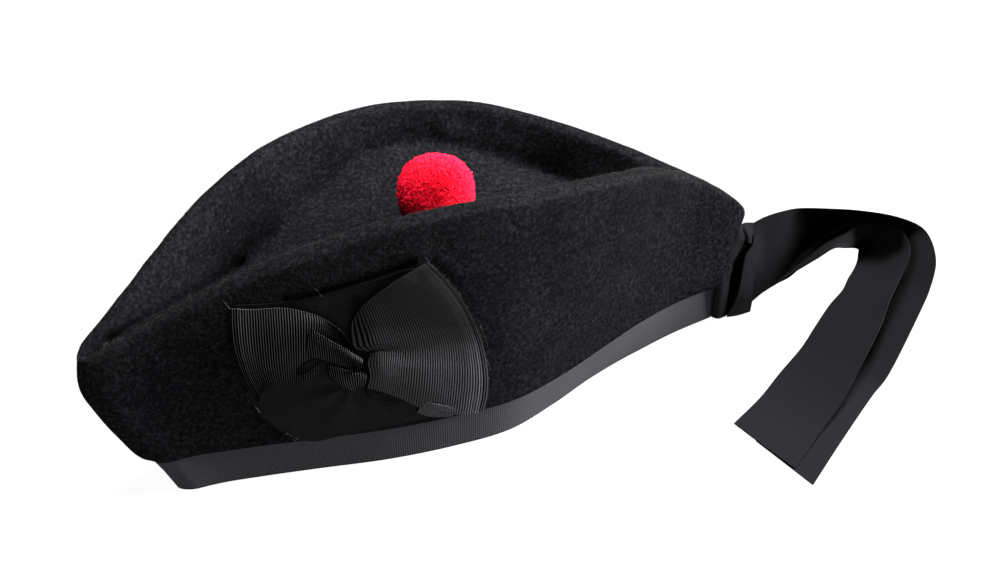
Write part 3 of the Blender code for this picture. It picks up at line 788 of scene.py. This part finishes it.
def satin_backing():
    """Thin satin lining cloth: smooth and nearly black, with painted shade in its pinched fold and along its
    top edge.
    """
    made, tree = start_material("satin_backing")
    cloth = grain(tree, 0.0012, 4.0)
    dyed = ramp(tree, cloth, [(0.35, "#070607"), (0.65, "#0f0d0e")])
    # Painted shade: black where the weave attribute says so.
    colour = mixed(tree, attribute(tree, "weave", "Fac"), dyed, linear("#000000"))
    return finished(made, colour, 0.6, 0.03, cloth, strength=0.25, distance=0.0002)


# ---- the felt

def fade(value, start, end):
    """0 before the start, 1 past the end, and even between them."""
    return np.clip((value - start) / (end - start), 0, 1)


def to_picture(points):
    """Where points show in the picture, in pixels."""
    from_eye = points - np.array(EYE)
    scale = PICTURE[0] * LENS_MM / SENSOR_MM / -(from_eye @ np.array(BACK))
    return np.stack([PICTURE[0] / 2 + from_eye @ np.array(RIGHT) * scale,
                     PICTURE[1] / 2 - from_eye @ np.array(UP) * scale], axis=1)


def near_line(points, line, wide):
    """1 for points that show on a line of the picture, and less with the distance from it."""
    dense = resample(np.array(line, float), 12 * len(line))
    spots = to_picture(points)
    away = np.full(len(points), 1e9)
    near = np.all((spots > dense.min(axis=0) - 4 * wide) & (spots < dense.max(axis=0) + 4 * wide), axis=1)
    for spot in dense:
        away[near] = np.minimum(away[near], np.hypot(*(spots[near] - spot).T))
    return np.exp(-(away / wide) ** 2)


def rim_line():
    """The crest of the left ridge, from the front to the rear."""
    return np.array([wall_point(t, 1) + SHIFT for t in np.linspace(0, 1, 200)])


def behind_rim(points):
    """1 for points beyond the left ridge's crest, 0 for those on the near side of it."""
    crest = rim_line()
    beyond = points[:, 1] - np.interp(points[:, 0], crest[:, 0], crest[:, 1])
    return np.clip(beyond / RIM_BLEND, 0, 1)


def refine_near(piece, lines):
    """Smaller faces where lines of the picture will be pushed in or get painted shade."""
    points = read_points(piece.data)
    near = np.max([near_line(points, line, REFINE_WIDE) for line in lines], axis=0) > REFINE_FROM
    select_only(piece)
    bpy.ops.object.mode_set(mode="EDIT")
    bpy.ops.mesh.select_all(action="DESELECT")
    bpy.ops.object.mode_set(mode="OBJECT")
    for face in piece.data.polygons:
        face.select = any(near[i] for i in face.vertices)
    bpy.ops.object.mode_set(mode="EDIT")
    bpy.ops.mesh.select_mode(type="FACE")
    bpy.ops.mesh.subdivide(number_cuts=1, smoothness=0.0)
    bpy.ops.object.mode_set(mode="OBJECT")


def felt_cap():
    """The felt cap, with the slight unevenness of blocked felt and the creases of its crown."""
    piece = cad_copy("felt_cap", "felt_body")
    refine_near(piece, (RIM_CREASE, CROWN_CREASE, PATCH_CREASE, WING_CREASE, HEM_SHADE_LINE))
    points = read_points(piece.data)
    noise.seed_set(UNEVEN_SEED)
    for i, point in enumerate(points):
        place = Vector(point)
        free = min(1, max(0, (place.z - STIFF_TO) / FREE_OVER))
        slow, quick = (noise.noise_vector(place / wave) * reach for wave, reach in UNEVEN)
        points[i] = place + (slow + quick) * free
    beyond = behind_rim(points)
    for line, deep, wide, far in zip(*CREASES.values()):
        where = beyond if far else 1 - beyond
        points -= np.array(BACK) * (deep * near_line(points, line, wide) * where)[:, None]
    # Painted shade along the ribbons' edges, on the near side of the left ridge only.
    edges = [share * near_line(points, line, wide) for line, share, wide in zip(*EDGE_SHADE_LINES.values())]
    painted_edge_shade = np.max(edges, axis=0) * (1 - beyond)
    mark(piece.data, "painted_edge_shade", painted_edge_shade)
    write_points(piece.data, points)
    piece.data.materials.append(wool_felt())
    return place_piece(piece, "felt_body")


def outer_triangles(piece):
    """The corners of the triangles on the felt's outer face, and their directions."""
    shape = bmesh.new()
    shape.from_mesh(piece.data)
    shape.faces.ensure_lookup_table()
    low = min(v.co.z for v in shape.verts) + FOOT_FACES
    start = min(shape.faces, key=lambda f: f.calc_center_median().x)
    seen, waiting = {start.index}, [start]
    while waiting:
        face = waiting.pop()
        for edge in face.edges:
            for other in edge.link_faces:
                if other.index not in seen and other.calc_center_median().z > low:
                    seen.add(other.index)
                    waiting.append(other)
    corners = []
    for index in seen:
        face = [v.co for v in shape.faces[index].verts]
        for a, b in zip(face[1:], face[2:]):
            corners.append((face[0], a, b))
    corners = np.array(corners, float)
    shape.free()
    normal = np.cross(corners[:, 1] - corners[:, 0], corners[:, 2] - corners[:, 0])
    area = norm(normal, axis=1) / 2
    return corners, normal / (2 * area[:, None] + 1e-18), area


def nap(name, corners, normals, weight, count, longest, rise, stops, seed):
    """Loose fibres of the felt's nap, lying over at many angles."""
    rng = np.random.default_rng(seed)
    pick = rng.choice(len(corners), count, p=weight / weight.sum())
    a, b = rng.random((2, count))
    swap = a + b > 1
    a[swap], b[swap] = 1 - a[swap], 1 - b[swap]
    tri = corners[pick]
    root = tri[:, 0] + (tri[:, 1] - tri[:, 0]) * a[:, None] + (tri[:, 2] - tri[:, 0]) * b[:, None]
    normal = normals[pick]
    loose = rng.normal(size=(count, 3))
    loose = unit(loose - normal * np.sum(loose * normal, axis=1, keepdims=True))
    stand = rng.uniform(*rise, count)[:, None]
    way = normal * stand + loose * np.sqrt(1 - stand ** 2)
    long = rng.uniform(NAP_SHORTEST, longest, count)[:, None]
    fibre = wool_fibre(name + "_wool", stops)
    return needles(name, root - normal * NAP_SUNK, root + way * long, NAP_WIDTH, fibre, rng.random(count))


def felt_naps(felt):
    """Three layers of loose nap: all over, a paler one mostly on top as painted light, and a warmer one
    along both ridges.
    """
    corners, normals, area = outer_triangles(felt)
    middle = corners.mean(axis=1)
    off_rim = np.full(len(middle), 1.0)
    for spot in rim_line():
        for crest in (spot, spot * [1, -1, 1] + [0, 2 * SHIFT.y, 0]):
            off_rim = np.minimum(off_rim, norm(middle - crest, axis=1))
    # The paler nap gathers on upward faces: painted light.
    on_top = area * (NAP_ON_SIDES + np.clip(normals[:, 2], 0, 1) ** 0.5)
    on_rims = area * (off_rim < RIM_REACH) * np.clip(normals[:, 2] + RIM_DOWN, 0, 1)
    for weight, (name, *settings) in zip((area, on_top, on_rims), zip(*NAPS.values())):
        place_piece(nap(name, corners, normals, weight, *settings), None)


# ---- the headband

def section(column, along):
    """A column of the sections' table at a share of the length, along a smooth curve."""
    xs, ys = np.array(SECTIONS["along"]), np.array(SECTIONS[column])
    slopes = np.gradient(ys, xs)
    i = min(max(int(np.searchsorted(xs, along)) - 1, 0), len(xs) - 2)
    wide = xs[i + 1] - xs[i]
    t = (along - xs[i]) / wide
    start, end = slopes[i] * wide, slopes[i + 1] * wide
    a = 2 * ys[i] - 2 * ys[i + 1] + start + end
    b = 3 * ys[i + 1] - 3 * ys[i] - 2 * start - end
    return float(((a * t + b) * t + start) * t + ys[i])


def wall_point(along, up, out=0.0):
    """A point of the left wall's inner line, moved out sideways: up is 0 on the floor, 1 at the ridge."""
    rise = min(up / OVERHANG_TOP, 1)
    lean = EVEN_LEAN * rise + (1 - EVEN_LEAN) * eased(rise)
    front = -OPENING_LENGTH / 2 - NOSE_OVERHANG * lean - out * NOSE_SLANT
    rear = OPENING_LENGTH / 2 + REAR_OVERHANG * up * up + out
    width = section("opening", along) * OPENING_WIDTH / 2
    spread = section("spread", along)
    top = spread * RIDGE_SPREAD / 2
    bulge = WALL_BULGE * math.sin(math.pi * up) * spread
    from_tip = min(along, 1 - along) * (rear - front) / END_ROUND
    rounded = math.sqrt(max(0.0, 1 - (1 - min(from_tip, 1.0)) ** 2))
    half = (width + (top - width) * up + bulge + out) * rounded
    fold = min(RIDGE_ROUND, (top - CREASE_GAP) / 2)
    tall = section("height", along) * RIDGE_HEIGHT - fold
    return Vector((front + (rear - front) * along, -half, tall * up))


def band_ring(height, inward):
    """The headband's outline at a height, as a closed line of points round from the front."""
    tips = [BAND_TIP * (1 - math.cos(math.pi / 2 * i / TIP_STEPS)) for i in range(TIP_STEPS)]
    side = [BAND_TIP + (1 - 2 * BAND_TIP) * i / SIDE_STEPS for i in range(SIDE_STEPS + 1)]
    alongs = tips + side + [1 - t for t in reversed(tips)]
    left = []
    for along in alongs:
        point = wall_point(along, height / wall_point(along, 1).z, -inward)
        left.append((point.x, point.y, height))
    right = [(x, -y, z) for x, y, z in left[-2:0:-1]]
    return np.array(left + right + left[:1]) + np.array(SHIFT)


def headband():
    """The ribbon band inside the hem: ribs round its outer side, a plain woven edge at its foot."""
    levels = [(height, 0) for height in BAND_OUTER] + [(height, BAND_THICK) for height in BAND_INNER]
    distance = lengths_along(band_ring(BAND_RULE, 0)[:, None])
    share = distance / distance[-1]
    ribs = int(round(distance[-1] / RIB))
    place = np.linspace(0, 1, ribs * RIB_STEPS, endpoint=False)
    rings, weave = [], []
    for height, inward in levels:
        ring = band_ring(height, inward)
        line = np.stack([np.interp(place, share, ring[:, k]) for k in range(3)], axis=1)
        ahead = np.roll(line, -1, axis=0) - np.roll(line, 1, axis=0)
        off = unit(np.stack([-ahead[:, 1], ahead[:, 0], np.zeros(len(line))], axis=1))
        if np.sum(off[0] * (line[0] - line.mean(0))) < 0:
            off = -off
        deep = BAND_RELIEF * 2 if BAND_PLAIN < height < BAND_HEIGHT and inward == 0 else 0
        line = line + off * (rib_crown(place * ribs) * deep)[:, None]
        lifted = eased(fade(line[:, 0], FOOT_FROM, FOOT_TO))
        line[:, 2] += FOOT_LIFT * lifted * (1 - height / BAND_HEIGHT)
        rings.append(line)
        edge = 1.0 if height <= BAND_PLAIN else 0.0
        weave.append(np.stack([place * ribs * RIB / MM, np.full(len(line), height / MM),
                               np.full(len(line), edge)], axis=1))
    count, total = len(place), len(levels)
    i, r = np.arange(count), np.arange(total)[:, None]
    j, low, high = (i + 1) % count, r * count, (r + 1) % total * count
    faces = np.stack([low + i, low + j, high + j, high + i], axis=-1).reshape(-1, 4)
    # The darker groove colour is painted shade; the turned colour is the plain foot edge's own.
    finish = grosgrain("band_grosgrain", "#1d1d1f", "#3a3a3e", "#2c2c2f", 0.5)
    piece = new_piece("band_ribbon", np.concatenate(rings), faces, finish, np.concatenate(weave))
    select_only(piece)
    bpy.ops.object.mode_set(mode="EDIT")
    bpy.ops.mesh.select_all(action="SELECT")
    bpy.ops.mesh.normals_make_consistent(inside=False)
    bpy.ops.object.mode_set(mode="OBJECT")
    bpy.ops.object.shade_smooth_by_angle(angle=math.radians(50))
    return place_piece(piece, "headband")


# ---- the rosette

def frayed_ends(surface, ends):
    """Frayed threads along the bow's outer ends, a few long loose ones, and stitches on the backing."""
    rng = np.random.default_rng(5)
    fibres = []
    off = np.array(over(surface, *BOW_MIDDLE, 0.01) - over(surface, *BOW_MIDDLE, 0.0)) / 0.01
    for end, side in zip(ends, (-1, 1)):
        line = resample(end, FRAY_COUNT)
        out = unit(np.cross(np.gradient(line, axis=0), off))
        if np.sum(out.mean(axis=0) * np.array(RIGHT)) * side < 0:
            out = -out
        for place, straight in zip(line, out):
            way = straight * rng.uniform(*FRAY_OUT) - off * rng.uniform(*FRAY_DOWN)
            way += np.array(UP) * rng.normal(0, FRAY_SPREAD)
            width = rng.uniform(*FRAY_WIDTH)
            share, dark, pale = FRAY_DARK
            shade = rng.uniform(*dark) if rng.random() < share else rng.uniform(*pale)
            fibres.append((place - straight * FRAY_HELD, place + way, width, shade))
    for (ax, ay), (bx, by), lift in LOOSE_THREADS:
        a, b = over(surface, ax, ay, lift * MM), over(surface, bx, by, LOOSE_END)
        bend = (a + b) / 2 + UP * LOOSE_BEND
        fibres += [(a, bend, LOOSE_WIDTH, LOOSE_SHADE), (bend, b, LOOSE_WIDTH, LOOSE_SHADE)]
    for (ax, ay), (bx, by) in STITCHES:
        for k in range(STITCH_FIBRES):
            t = (k + 0.5) / STITCH_FIBRES
            px = ax + (bx - ax) * t + rng.normal(0, STITCH_SPREAD)
            py = ay + (by - ay) * t + rng.normal(0, STITCH_SPREAD)
            root, tip = (over(surface, px + x, py + y, lift) for x, y, lift in (STITCH_ROOT, STITCH_TIP))
            fibres.append((root, tip, STITCH_WIDTH, rng.uniform(0.75, 1.0)))
    roots, tips, widths, shades = zip(*fibres)
    stops = [(0.0, "#030303"), (0.5, "#0a0a0b"), (0.8, "#2c2c2e"), (1.0, "#57575a")]
    return needles("bow_fray", [list(p) for p in roots], [list(p) for p in tips], np.array(widths),
                   wool_fibre("frayed_thread", stops), np.array(shades))


def painted_wing_shade(grid):
    """How much painted shade darkens the right wing, by place in the picture."""
    py = to_picture(grid.reshape(-1, 3))[:, 1].reshape(grid.shape[:2])
    return np.interp(py, *WING_SHADE)


def rosette(surface):
    """The backing patch and the ribbon bow over it."""
    grid = smooth_net(net_points(surface, BACKING_NET), 90, 60)
    off = grid_normals(grid)
    if off.mean(axis=(0, 1))[1] > 0:
        off = -off
    pull = over(surface, *BOW_MIDDLE, 0.001)
    for i, j in np.ndindex(grid.shape[:2]):
        place = Vector(grid[i, j])
        away = place - pull
        near = math.exp(-(away.length / PULL_REACH) ** 2)
        pucker = math.sin(PULL_FOLDS * math.atan2(away.z, away.x) + PULL_TURN) * near * PULL_DEEP
        pucker += noise.noise(place / PATCH_WAVE) * PATCH_UNEVEN
        grid[i, j] += off[i, j] * pucker
    flat = grid.reshape(-1, 3)
    # Painted shade on the backing, along its pinched fold and along its top edge.
    dark = np.maximum(near_line(flat, PINCH_LINE, PINCH_WIDE),
                      near_line(flat, PATCH_CREASE, PATCH_SHADE_WIDE)).reshape(grid.shape[:2])
    weave = np.repeat(dark[:, :, None], 3, axis=2)
    backing = join_grids("rosette_patch", [(grid, weave)], satin_backing())
    place_piece(backing, "rosette_backing")

    sheets = []
    for net, rows, across, start in (
        (LEFT_WING_NET, 120, 44, 0), (PLEAT_NET, 60, 20, BOW_INNER), (KNOT_NET, 50, 18, BOW_INNER),
        (RIGHT_WING_NET, 140, 72, 0), (TUCK_NET, 40, 12, BOW_INNER), (ROLL_NET, 40, 12, BOW_INNER),
    ):
        grid, weave = ribbed_sheet(net_points(surface, net), rows, across, BOW_RELIEF)
        weave[:, :, 0] += start / MM
        # Painted shade on the right wing, darkest on its upper lobe.
        if net is RIGHT_WING_NET:
            weave[:, :, 2] = painted_wing_shade(grid)
        sheets.append((grid, weave))
    threads = frayed_ends(surface, (sheets[0][0][0], sheets[3][0][0]))
    place_piece(threads, None)
    # Near-black grooves are painted shade, and the near-black turned colour is painted shade on the right
    # wing.
    finish = grosgrain("bow_grosgrain", "#020202", "#5e5e62", "#020202", 1.0, 0.64, edge=BOW_EDGE)
    bow = join_grids("rosette_ribbon", sheets, finish)
    place_piece(bow, "rosette_bow")


# ---- the toorie

def squared(way):
    """How far a slightly squared ball reaches along directions, as a share of its radius."""
    parts = np.abs(way @ np.array([RIGHT, UP, BACK]).T)
    return (parts ** BALL_SQUARE).sum(axis=1) ** (-1 / BALL_SQUARE)


def toorie():
    """The wool ball: a core, and cut yarn ends standing out all round it."""
    low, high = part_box("toorie")
    middle = np.array((low + high) / 2 + RIGHT * BALL_ASIDE - UP * BALL_SUNK)
    radius = (high.x - low.x) / 2 * BALL_TRIM
    bpy.ops.object.select_all(action="DESELECT")
    bpy.ops.mesh.primitive_ico_sphere_add(subdivisions=5, radius=1)
    core = bpy.context.active_object
    core.name = core.data.name = "wool_ball_core"
    way = read_points(core.data)
    write_points(core.data, middle + way * squared(way)[:, None] * radius * CORE_SHARE)
    bpy.ops.object.shade_smooth()
    core.data.materials.append(wool_core())
    place_piece(core, "toorie")

    rng = np.random.default_rng(7)
    z = rng.uniform(-1, 1, YARN_ENDS)
    turn = rng.uniform(0, 2 * math.pi, YARN_ENDS)
    flat = np.sqrt(1 - z * z)
    way = np.stack([flat * np.cos(turn), flat * np.sin(turn), z], axis=1)
    clump = np.array([noise.noise(Vector(w) * CLUMPS) for w in way])
    reach = radius * (1.0 + CLUMP_REACH * clump) + rng.normal(0, YARN_UNEVEN, YARN_ENDS)
    astray = rng.random(YARN_ENDS) < ASTRAY_SHARE
    reach[astray] += rng.uniform(*ASTRAY_REACH, astray.sum())
    lean = rng.normal(0, LEAN_SPREAD, (YARN_ENDS, 3))
    shaped = way * squared(way)[:, None]
    tips = middle + (shaped + lean * LEAN_SHARE) * reach[:, None]
    roots = middle + shaped * radius * ROOT_SHARE
    width = np.where(astray, ASTRAY_WIDTH, YARN_WIDTH)
    fibre = wool_fibre("cut_wool_pile", [(0.0, "#c80a22"), (0.5, "#ea1430"), (1.0, "#f82c4c")])
    pile = needles("wool_ball_pile", roots, tips, width, fibre, rng.random(YARN_ENDS), wide_tip=True)
    place_piece(pile, None)


# ---- the tie and the tails

def at_depth(px, py, depth):
    """The point on a pixel's line of sight at a depth behind the picture's plane."""
    way = sight(px, py)
    return EYE + way * ((DISTANCE + depth) / -way.dot(BACK))


def at_height(px, py, height):
    """The point on a pixel's line of sight at a height over the floor."""
    way = sight(px, py)
    return EYE + way * ((height - EYE.z) / way.z)


def placed(net, rule):
    """A net's points in space, by depth or by height."""
    return np.array([[rule(px, py, third * MM) for px, py, third in row] for row in net])


def painted_curl_shade(grid):
    """1 for the inside of the inner tail's curl, where shade is painted on, and 0 past it."""
    px, py = to_picture(grid.reshape(-1, 3)).T
    above = np.clip((np.interp(px, *CURL_FOOT) - py) / CURL_BLUR + 0.5, 0, 1)
    return (eased(above * fade(px, *CURL_LEFT) * fade(px, *CURL_RIGHT)) * CURL_DARK).reshape(grid.shape[:2])


def painted_bend_shade(grid):
    """1 for painted shade on the outer tail's underside at the bend, and painted shadow beside the inner
    tail's edge.
    """
    points = grid.reshape(-1, 3)
    px, py = to_picture(points).T
    under = eased(fade(px, *BEND_LEFT) * fade(px, *BEND_RIGHT) * fade(py, *BEND_FOOT))
    beside = near_line(points, TAIL_SHADE, TAIL_SHADE_WIDE) * TAIL_SHADE_DARK
    return (np.maximum(under, beside) * BEND_DARK).reshape(grid.shape[:2])


def tie_and_tails():
    """The tie, two strips with a fold over them and a sheet of painted shade in the hollow between, and the
    two tails.
    """
    # The near-black turned colour is painted shade at the tails' bend and curl, and the slightly darker
    # grooves are painted shade too.
    finish = grosgrain("tail_grosgrain", "#0d0d0e", "#151517", "#020202", 0.15)
    # A near-black copy of the ribbon: painted shade for the hollow inside the tie.
    shade_painted_ribbon = grosgrain("shade_painted_grosgrain", "#020202", "#040404", "#040404", 0.15)
    for name, node, rows, cloth, nets in (
        ("tie_ribbon", "rear_tie", 60, finish, (TIE_LEFT_NET, TIE_RIGHT_NET)),
        ("tie_inside", "rear_tie", 60, shade_painted_ribbon, (TIE_INSIDE_NET,)),
        ("tie_knot", "tie_fold", 40, finish, (FOLD_NET,)),
    ):
        strips = [ribbed_sheet(placed(net, at_depth), rows, 20, TAIL_RELIEF) for net in nets]
        place_piece(join_grids(name, strips, cloth), node)
    for name, node, net, shade in (
        ("tail_outer", "tail_ribbon_outer", OUTER_TAIL_NET, painted_bend_shade),
        ("tail_inner", "tail_ribbon_inner", INNER_TAIL_NET, painted_curl_shade),
    ):
        grid, weave = ribbed_sheet(placed(net, at_height), 600, 17, TAIL_RELIEF)
        # Painted shade and painted shadow on the tails, carried in the weave attribute.
        weave[:, :, 2] = shade(grid)
        place_piece(join_grids(name, [(grid, weave)], finish), node)


# ---- floor, light and camera

def floor_and_light():
    """A pale floor that reads white, and soft light from the front right and from above."""
    bpy.ops.object.select_all(action="DESELECT")
    bpy.ops.mesh.primitive_plane_add(size=12, location=(0, 0, 0))
    floor = bpy.context.active_object
    floor.name = "floor"
    made, tree = start_material("pale_floor")
    for socket, value in (
        ("Base Color", (0.03, 0.03, 0.03, 1)), ("Roughness", 0.9),
        ("Emission Color", (1, 1, 1, 1)), ("Emission Strength", 0.97),
    ):
        tree.nodes["Principled BSDF"].inputs[socket].default_value = value
    floor.data.materials.append(made)
    scene = bpy.context.scene
    scene.world = scene.world or bpy.data.worlds.new("studio")
    scene.world.use_nodes = True
    sky = scene.world.node_tree.nodes["Background"]
    sky.inputs["Color"].default_value = (1, 1, 1, 1)
    sky.inputs["Strength"].default_value = 0.02
    for name, way, energy, soft in zip(*LAMPS.values()):
        lamp = bpy.data.lights.new(name, "SUN")
        lamp.energy = energy
        lamp.angle = math.radians(soft)
        to_scene(name, lamp, way)
    scene.view_settings.view_transform = "Standard"
    scene.view_settings.look = "None"


def camera():
    """The camera at the photograph's place."""
    data = bpy.data.cameras.new("camera")
    data.lens = LENS_MM
    data.sensor_width = SENSOR_MM
    made = to_scene("camera", data, BACK)
    made.location = EYE
    bpy.context.scene.camera = made


camera()
felt = felt_cap()
shape = bmesh.new()
shape.from_mesh(felt.data)
felt_surface = BVHTree.FromBMesh(shape)
shape.free()
felt_naps(felt)
headband()
rosette(felt_surface)
toorie()
tie_and_tails()
floor_and_light()
